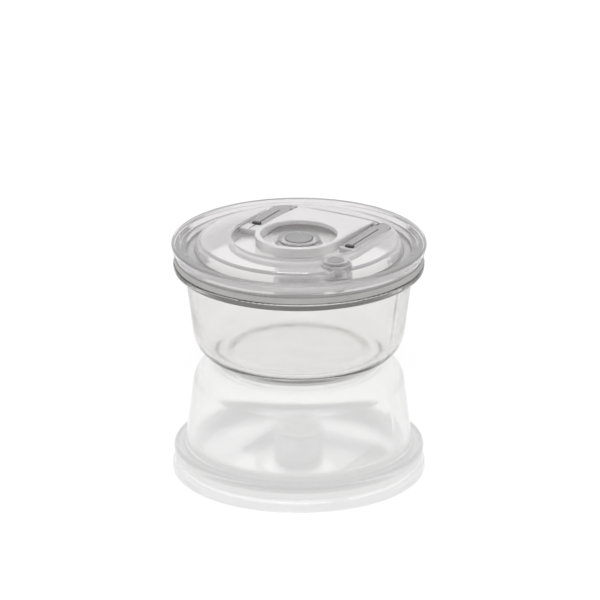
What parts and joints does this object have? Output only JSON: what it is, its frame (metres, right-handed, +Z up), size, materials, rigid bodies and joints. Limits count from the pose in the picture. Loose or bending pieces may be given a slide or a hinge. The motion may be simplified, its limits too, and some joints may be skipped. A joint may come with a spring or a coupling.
{
  "type": "vacuum seal canister",
  "caption": "Round glass food canister with a clear lid that has a flip-up ring handle, date sliders, a spring vacuum valve in a filter cage and a press-to-release button.",
  "frame": {"origin": "centre of the standing ring, on the surface below the bowl", "axes": "+Z up, +Y towards the handle's hinge at the rear of the lid, +X to the right of a user who faces the hinge"},
  "size_m": [0.15, 0.15, 0.0758],
  "materials": {
    "glass": "clear pressed glass",
    "clear_plastic": "clear moulded plastic",
    "grey_silicone": "soft matt silicone",
    "grey_plastic": "satin moulded",
    "black_plastic": "satin moulded",
    "steel": "bright drawn wire",
    "filter_felt": "white felt"
  },
  "bodies": {
    "bowl": {"glass_bowl": "glass"},
    "lid": {"lid_shell": "clear_plastic", "rim_gasket": "grey_silicone", "hinge_pins": "steel", "date_track_left": "grey_plastic", "date_track_right": "grey_plastic", "valve_ring": "clear_plastic", "valve_washer": "grey_silicone", "valve_cage": "clear_plastic", "cage_cap": "clear_plastic", "cage_filter": "filter_felt", "valve_spring": "steel", "release_spring": "steel"},
    "handle": {"handle": "clear_plastic"},
    "valve": {"valve_button": "grey_plastic", "valve_seal": "grey_silicone", "valve_clip": "steel"},
    "release": {"release_button": "clear_plastic", "release_pad": "grey_plastic", "release_seal": "grey_silicone", "release_clip": "steel"},
    "marker_left": {"date_marker_left": "black_plastic"},
    "marker_right": {"date_marker_right": "black_plastic"}
  },
  "joints": [
    {"name": "lid_lift", "type": "slide", "parent": "bowl", "child": "lid", "axis": [0, 0, 1], "range_m": [0, 0.08]},
    {"name": "handle_flip", "type": "hinge", "parent": "lid", "child": "handle", "pos_m": [0, 0.0426, 0.0723], "axis": [-1, 0, 0], "range_deg": [0, 90]},
    {"name": "valve_lift", "type": "slide", "parent": "lid", "child": "valve", "axis": [0, 0, 1], "range_m": [0, 0.002], "stiffness_N_per_m": 150, "springref_m": -0.002, "deforming": ["valve_spring"]},
    {"name": "release_press", "type": "slide", "parent": "lid", "child": "release", "axis": [0, 0, -1], "range_m": [0, 0.002], "stiffness_N_per_m": 400, "springref_m": -0.003, "deforming": ["release_spring"]},
    {"name": "date_left_slide", "type": "slide", "parent": "lid", "child": "marker_left", "axis": [0, 1, 0], "range_m": [-0.0077, 0.0256]},
    {"name": "date_right_slide", "type": "slide", "parent": "lid", "child": "marker_right", "axis": [0, 1, 0], "range_m": [0, 0.033]}
  ]
}
